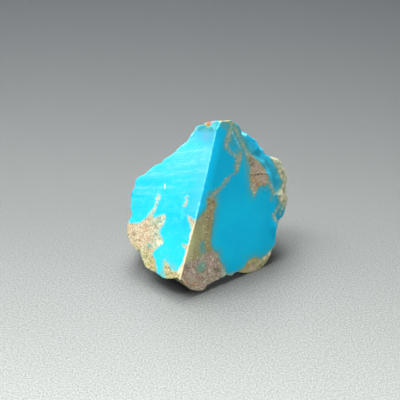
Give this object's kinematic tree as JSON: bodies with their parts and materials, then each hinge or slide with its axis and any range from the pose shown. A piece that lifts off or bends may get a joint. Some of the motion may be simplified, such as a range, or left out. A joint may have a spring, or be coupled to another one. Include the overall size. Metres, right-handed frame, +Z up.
{
  "type": "turquoise specimen",
  "caption": "Rough piece of natural turquoise with two sawn faces meeting in a long straight ridge, brown host rock on its broken sides, and a small flat spot to stand on.",
  "frame": {"origin": "on the ground, under the middle of the stone's box", "axes": "+Z up from the flat spot; the ridge between the sawn faces leans back towards +Y as it rises; +X to the right of the ridge seen from the front"},
  "size_m": [0.0288, 0.0248, 0.0285],
  "materials": {
    "turquoise": "waxy sawn faces, dull broken sides, grainy brown and buff host rock"
  },
  "bodies": {
    "root": {"turquoise_stone": "turquoise"}
  },
  "joints": []
}
